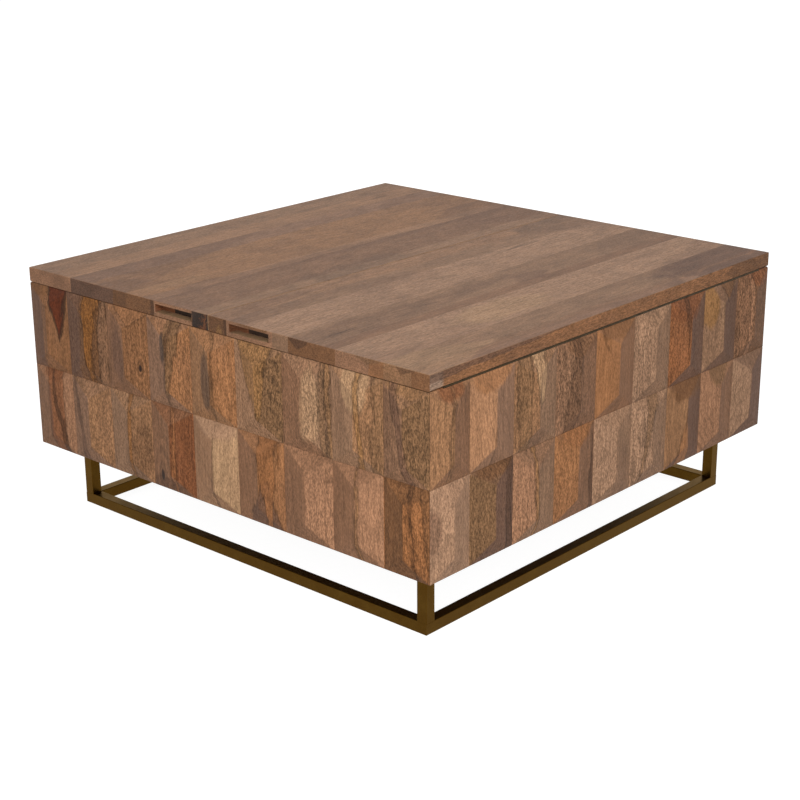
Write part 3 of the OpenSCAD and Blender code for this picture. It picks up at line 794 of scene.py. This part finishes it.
def wood_figure(w, grain, run=1.0):
    """The patterns of mango wood in a vector whose Z runs along the grain, in metres: each a
    noise with so many waves in a metre across the grain, and fewer along it. A larger run
    makes the long ones shorter."""
    bend = w.noise(w.stretch(grain, (7, 7, 4)), 1)
    x, y, z = w.parts(grain)
    bent_x = w.math("MULTIPLY_ADD", bend, GRAIN_BEND, x)
    bent = w.put("ShaderNodeCombineXYZ", {0: bent_x, 1: y, 2: z}).outputs[0]
    return {
        "bend": bend,
        "cloud": w.noise(w.stretch(grain, (16, 16, 6), (5, 1, 3)), 2),
        "wide": w.noise(w.stretch(bent, (30, 30, 9 * run)), 3, 0.55),
        "streaks": w.noise(w.stretch(bent, (260, 260, 12 * run)), 3, 0.6),
        "strokes": w.noise(w.stretch(bent, (330, 330, 75)), 2, 0.6),
        "flecks": w.noise(w.stretch(grain, (520, 520, 200)), 2, 0.65),
        "pores": w.noise(w.stretch(grain, (750, 750, 130)), 1),
    }


def growth_lines(w, figure, heart, spacing):
    """Thin dark lines round the log's heart, 1 on a line."""
    x, y, _ = w.parts(heart)
    far = w.length(x, y)
    for pattern, sway in RING_SWAYS.items():
        far = w.math("ADD", far, w.swing(figure[pattern], sway))
    ring = w.math("FRACT", w.math("DIVIDE", far, spacing))
    falling = w.ramp(ring, (RING_LINE[1], 1.0), (1.0, 0.0))
    return w.math("MULTIPLY", w.ramp(ring, RING_LINE), falling)


def inside_band(w, u, v, figure, plan):
    """How far inside the band of a plan a place is. It is 0 on the band's edge."""
    at, lean, top = w.parts(plan.outputs["Vector"])
    bottom = plan.outputs["Alpha"]
    middle = w.math("MULTIPLY_ADD", w.math("SUBTRACT", v, 0.5), lean, at)
    middle = w.math("ADD", middle, w.swing(figure["wide"], BAND_SWAY))
    half = w.math("MULTIPLY_ADD", w.math("SUBTRACT", top, bottom), v, bottom)
    half = w.math("ADD", half, w.swing(figure["streaks"], BAND_FRAY))
    return w.math("SUBTRACT", half, w.math("ABSOLUTE", w.math("SUBTRACT", u, middle)))


def past_split(w, u, figure, split, facet_shade, sway):
    """The share of the second tone: painted shade on the facets turned from the light, or past
    the split. A split left of the middle has the second tone on its left, and one right of it
    on its right. One in the middle has half a share on both sides."""
    past = w.math("ADD", w.math("SUBTRACT", u, split), w.swing(figure["wide"], sway))
    past = w.math("ADD", past, w.swing(figure["streaks"], SPLIT_FRAY * sway))
    past = w.ramp(past, (-SPLIT_SOFTNESS * sway, SPLIT_SOFTNESS * sway))
    on_right = w.ramp(split, (-MIDDLE_SPLIT, MIDDLE_SPLIT))
    past = w.math("ABSOLUTE", w.math("SUBTRACT", w.math("SUBTRACT", 1.0, on_right), past))
    at_ridge = w.math("GREATER_THAN", split, LAST_SPLIT)
    return w.math("MULTIPLY_ADD", w.math("SUBTRACT", facet_shade, past), at_ridge, past)


def in_patch(w, u, v, figure, plan):
    """1 in the patch of a plan, and 0 outside its uneven edge."""
    across, up, wide = w.parts(plan.outputs["Vector"])
    dx = w.math("DIVIDE", w.math("SUBTRACT", u, across), wide)
    dy = w.math("DIVIDE", w.math("SUBTRACT", v, up), plan.outputs["Alpha"])
    far = w.math("ADD", w.length(dx, dy), w.swing(figure["wide"], PATCH_SWAY))
    return w.ramp(far, PATCH_EDGE, (1.0, 0.0))


def mango_tones(w, u, v, facet_shade, figure, sway, rim_depth):
    """The tones of mango wood with the painted facet shade, and how strongly its fine marks show.
    """
    tone, side = w.attribute("tone"), w.attribute("side_or_shade_tone")
    share = past_split(w, u, figure, side.outputs["Alpha"], facet_shade, sway)
    colour = w.mix(share, tone.outputs["Color"], side.outputs["Color"])
    greyed = w.ramp(figure["cloud"], GREY_CLOUDS, (0.0, GREY_SHARE))
    colour = w.mix(greyed, colour, opaque(TONES["mauve"]))
    tint = w.attribute("patch_tint")
    inside = in_patch(w, u, v, figure, w.attribute("patch_plan"))
    inside = w.math("MULTIPLY", inside, tint.outputs["Alpha"])
    colour = w.mix(inside, colour, tint.outputs["Color"])
    for letter in "ab":
        tint = w.attribute(f"tint_{letter}")
        depth = inside_band(w, u, v, figure, w.attribute(f"plan_{letter}"))
        inside = w.math("MULTIPLY", w.ramp(depth, BAND_EDGE), tint.outputs["Alpha"])
        colour = w.mix(inside, colour, tint.outputs["Color"])
        rim = w.ramp(w.math("ABSOLUTE", depth), (0.0, RIM_WIDTH), (rim_depth, 0.0))
        rim = w.math("MULTIPLY", rim, w.ramp(tint.outputs["Alpha"], RIM_FADE))
        colour = w.darken(colour, w.math("SUBTRACT", 1.0, rim))
    kept = w.math("MULTIPLY_ADD", share, -SECOND_TONE_LOSS, 1.0)
    return colour, w.math("MULTIPLY", tone.outputs["Alpha"], kept)


def mango(name, shade, run, sway, rim_depth, fleck_depth, line_depth, spacing, specular):
    """Mango wood that takes its tones, bands, patches and knots from the mesh it is on."""
    w = Wiring(name)
    u, v, facet_shade = w.parts(w.attribute("place").outputs["Vector"])
    figure = wood_figure(w, w.attribute("grain").outputs["Vector"], run)
    colour, speckle = mango_tones(w, u, v, facet_shade, figure, sway, rim_depth)
    colour = w.darken(colour, w.ramp(figure["wide"], (0.3, 0.72), (0.89, 1.11)))
    lines = growth_lines(w, figure, w.attribute("heart").outputs["Vector"], spacing)
    lines = w.math("MULTIPLY", lines, w.ramp(figure["cloud"], (0.38, 0.60), (1.0, LINE_LEAST)))
    share = w.math("MULTIPLY_ADD", speckle, LINE_SPECKLE, 1.0 - LINE_SPECKLE)
    colour = w.draw(colour, w.math("MULTIPLY", lines, share), line_depth,
                    1.0 + line_depth * LINE_LIFT)
    colour = w.darken(colour, w.ramp(figure["streaks"], SPREAD, (0.84, 1.14)))
    strokes = w.math("MULTIPLY", w.ramp(figure["strokes"], (0.48, 0.66)), speckle)
    colour = w.draw(colour, strokes, STROKE_SHARE * fleck_depth, 1.0 + fleck_depth * STROKE_LIFT)
    flecks = w.math("MULTIPLY", w.ramp(figure["flecks"], (0.36, 0.64), (-1.0, 1.0)), speckle)
    colour = w.draw(colour, flecks, -fleck_depth, FINE_GROUND)
    pores = w.ramp(figure["pores"], (0.58, 0.70))
    pores = w.math("MULTIPLY", pores, w.ramp(speckle, (0.0, 1.0), (PORE_LEAST, 1.0)))
    colour = w.draw(colour, pores, PORE_DEPTH, FINE_GROUND)
    colour = w.darken(knot(w, colour, u, v, figure), shade)
    height = w.math("SUBTRACT", w.math("MULTIPLY", figure["flecks"], 0.6), pores)
    normal = w.bump(height, distance=0.0004, strength=0.4)
    roughness = w.ramp(figure["flecks"], SPREAD, (ROUGHNESS + 0.08, ROUGHNESS - 0.06))
    return w.principled(colour, roughness, normal, Specular_IOR_Level=specular)


def knot(w, colour, u, v, figure):
    """A knot: a dark core with fading rings round it, squeezed to the shape of the piece."""
    eye = w.attribute("eye")
    across, up, radius = w.parts(eye.outputs["Vector"])
    dx = w.math("MULTIPLY", w.math("SUBTRACT", u, across), KNOT_SQUEEZE[0])
    dy = w.math("MULTIPLY", w.math("SUBTRACT", v, up), KNOT_SQUEEZE[1])
    far = w.math("ADD", w.length(dx, dy), w.swing(figure["streaks"], KNOT_SWAY))
    radii = w.math("DIVIDE", far, radius)
    core = w.math("MULTIPLY", w.ramp(radii, KNOT_CORE, (1.0, 0.0)), eye.outputs["Alpha"])
    rings = w.math("SINE", w.math("MULTIPLY", radii, KNOT_WAVES))
    rings = w.math("MULTIPLY", rings, w.ramp(radii, KNOT_RINGS, (KNOT_DEPTH, 0.0)))
    ringed = w.darken(colour, w.math("MULTIPLY_ADD", rings, eye.outputs["Alpha"], 1.0))
    return w.mix(core, ringed, opaque(TONES["dark_figure_and_shade"]))


def plain_wood(name, turn):
    """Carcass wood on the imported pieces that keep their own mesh; turn brings the grain to Z."""
    w = Wiring(name)
    grain = w.put("ShaderNodeMapping", {"Vector": w.place(), "Rotation": turn}).outputs[0]
    figure = wood_figure(w, grain)
    share = w.ramp(figure["wide"], (0.2, 0.8), (0.25, 0.65))
    colour = w.mix(share, opaque(TONES["cream"]), opaque(TONES["tan"]))
    colour = w.darken(colour, w.ramp(figure["streaks"], SPREAD, (0.85, 1.1)))
    colour = w.darken(colour, w.ramp(figure["flecks"], (0.34, 0.62), (0.85, 1.06)))
    roughness = w.ramp(figure["flecks"], SPREAD, (0.62, 0.5))
    normal = w.bump(figure["streaks"], distance=0.0003, strength=0.5)
    return w.principled(colour, roughness, normal, Specular_IOR_Level=0.3)


def metal(name, tone, worn, roughness, metallic, scale, sheen=(1, 1, 1, 1)):
    """Painted or plated metal with rubbed patches, scale noise waves in a metre, and a faint
    finer mottling."""
    w = Wiring(name)
    place = w.place()
    cloud = w.noise(w.stretch(place, [scale] * 3), 4, 0.6)
    fine = w.noise(w.stretch(place, [scale * FINER] * 3), 2)
    colour = w.mix(w.ramp(cloud, (0.42, 0.75)), opaque(tone), opaque(worn))
    colour = w.darken(colour, w.ramp(fine, SPREAD, (0.9, 1.08)))
    roughness = w.ramp(cloud, SPREAD, (roughness - 0.06, roughness + 0.08))
    normal = w.bump(fine, distance=0.0001, strength=0.4)
    return w.principled(colour, roughness, normal, Metallic=metallic, Specular_Tint=sheen)


def rubber(name):
    w = Wiring(name)
    grit = w.noise(w.stretch(w.place(), (900, 900, 900)), 2)
    colour = w.mix(grit, (0.012, 0.011, 0.010, 1), (0.035, 0.033, 0.030, 1))
    normal = w.bump(grit, distance=0.0002, strength=0.5)
    return w.principled(colour, w.ramp(grit, SPREAD, (0.75, 0.9)), normal)


def dress(piece, material):
    piece.data.materials.clear()
    piece.data.materials.append(material)


tile_wood = mango("mango_tile", shade=1.0, run=1.0, sway=0.3, rim_depth=0.45,
                  fleck_depth=0.26, line_depth=0.24, spacing=0.007, specular=0.15)
lid_wood = mango("mango_lid", shade=0.82, run=2.2, sway=0.06, rim_depth=0.06,
                 fleck_depth=0.11, line_depth=0.06, spacing=0.006, specular=0.22)
QUARTER = math.pi / 2
wood_along_x = plain_wood("carcass_along_x", (0, QUARTER, 0))
wood_along_y = plain_wood("carcass_along_y", (QUARTER, 0, 0))
base_metal = metal("base_brass_paint", srgb(75, 51, 14), srgb(83, 59, 19), roughness=0.34,
                   metallic=1.0, scale=30, sheen=(1.0, 0.86, 0.68, 1.0))
hinge_metal = metal("hinge_brass", srgb(66, 52, 30), srgb(52, 41, 25), roughness=0.5,
                    metallic=0.8, scale=60)
screw_metal = metal("zinc", srgb(170, 166, 152), srgb(140, 136, 124), roughness=0.35,
                    metallic=0.9, scale=200)
bumper_rubber = rubber("bumper_rubber")


# The pieces

def material_for(name):
    """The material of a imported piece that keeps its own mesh."""
    if name.startswith(("base_screws", "batten_screws", "hinge_lid_screws")):
        return screw_metal
    if name.startswith("base_"):
        return base_metal
    if name.startswith("hinge_"):
        return hinge_metal
    if name == "lid_bumpers":
        return bumper_rubber
    return wood_along_y if name.endswith(("_left", "_right")) else wood_along_x


for number, (node, looks) in enumerate(TILE_LOOKS.items()):
    dress(carve_tiles(node, looks, number), tile_wood)

for number, (node, looks) in enumerate(BOARD_LOOKS.items()):
    dress(plane_board(node, looks, number), lid_wood)

for name, node in NODES.items():
    if not node.hide_render:
        dress(node, material_for(name))


# Stage, light and camera

FLOOR_DROP = 0.0005            # metres, so that the base and the floor don't share a plane
FLOOR_TONE = (0.25, 0.25, 0.25, 1)
FLOOR_GLOW = 0.93
SENSOR_MM = 36


def add_object(name, data):
    made = bpy.data.objects.new(name, data)
    bpy.context.scene.collection.objects.link(made)
    return made


def seen_directly(w):
    """1 for rays that show a surface: from the camera, by gloss or through glass."""
    path = w.put("ShaderNodeLightPath", {}).outputs
    gloss = w.math("MAXIMUM", path["Is Glossy Ray"], path["Is Transmission Ray"])
    return w.math("MAXIMUM", path["Is Camera Ray"], gloss)


def white_floor(size):
    """A matt floor that looks white without lighting the table as much as white would."""
    mesh = bmesh.new()
    bmesh.ops.create_grid(mesh, x_segments=1, y_segments=1, size=size)
    data = bpy.data.meshes.new("floor")
    mesh.to_mesh(data)
    mesh.free()
    floor = add_object("floor", data)
    floor.location.z = -FLOOR_DROP
    w = Wiring("white_floor")
    matt = w.put("ShaderNodeBsdfDiffuse", {"Color": FLOOR_TONE}).outputs[0]
    strength = w.math("MULTIPLY", seen_directly(w), FLOOR_GLOW)
    glow = w.put("ShaderNodeEmission", {"Strength": strength}).outputs[0]
    dress(floor, w.surface(w.put("ShaderNodeAddShader", {0: matt, 1: glow}).outputs[0]))


def white_world(fill):
    """White to the camera and in reflections, and a dimmer fill light otherwise."""
    world = bpy.data.worlds.new("white_room")
    bpy.context.scene.world = world
    world.use_nodes = True
    tree = world.node_tree
    tree.nodes.clear()
    path = tree.nodes.new("ShaderNodeLightPath")
    diffuse = tree.nodes.new("ShaderNodeMapRange")
    diffuse.inputs["To Min"].default_value, diffuse.inputs["To Max"].default_value = 1.0, fill
    background = tree.nodes.new("ShaderNodeBackground")
    background.inputs["Color"].default_value = (1, 1, 1, 1)
    output = tree.nodes.new("ShaderNodeOutputWorld")
    tree.links.new(path.outputs["Is Diffuse Ray"], diffuse.inputs["Value"])
    tree.links.new(diffuse.outputs[0], background.inputs["Strength"])
    tree.links.new(background.outputs[0], output.inputs["Surface"])


def soft_light(name, azimuth, elevation, distance, size, watts, mirrored=True):
    """A square area light aimed at the middle of the table. Azimuth 0 is in front, and 90 on
    the right."""
    data = bpy.data.lights.new(name, "AREA")
    data.size, data.energy = size, watts
    light = add_object(name, data)
    light.visible_glossy = mirrored
    a, e = math.radians(azimuth), math.radians(elevation)
    away = Vector((math.sin(a) * math.cos(e), -math.cos(a) * math.cos(e), math.sin(e)))
    middle = (cad_box[0] + cad_box[1]) / 2
    light.location = middle + away * distance
    light.rotation_mode = "QUATERNION"
    light.rotation_quaternion = away.to_track_quat("Z", "Y")


def rotation(x=0.0, z=0.0):
    """A rotation about one axis, in degrees."""
    return Euler((math.radians(x), 0, math.radians(z))).to_matrix()


def photo_camera(place, azimuth, elevation, roll, focal_px, picture_px=800):
    """The photograph's viewpoint: place in metres, angles in degrees, focal length in its
    pixels."""
    data = bpy.data.cameras.new("photo_camera")
    data.sensor_width = SENSOR_MM
    data.lens = SENSOR_MM * focal_px / picture_px
    camera = add_object("photo_camera", data)
    turn = rotation(z=azimuth) @ rotation(x=90 - elevation) @ rotation(z=roll)
    camera.matrix_world = Matrix.Translation(place) @ turn.to_4x4()
    bpy.context.scene.camera = camera


white_floor(size=12)
white_world(fill=0.50)
soft_light("key", azimuth=43, elevation=18, distance=3.6, size=2.2, watts=98)
soft_light("top_fill", azimuth=43, elevation=76, distance=3.2, size=3.0, watts=25)
soft_light("back_fill", azimuth=228, elevation=22, distance=3.8, size=2.6, watts=45,
           mirrored=False)
photo_camera((1.913, -2.140, 1.170), azimuth=41.93, elevation=19.09, roll=-0.37, focal_px=1720)
bpy.context.scene.view_settings.view_transform = "Standard"
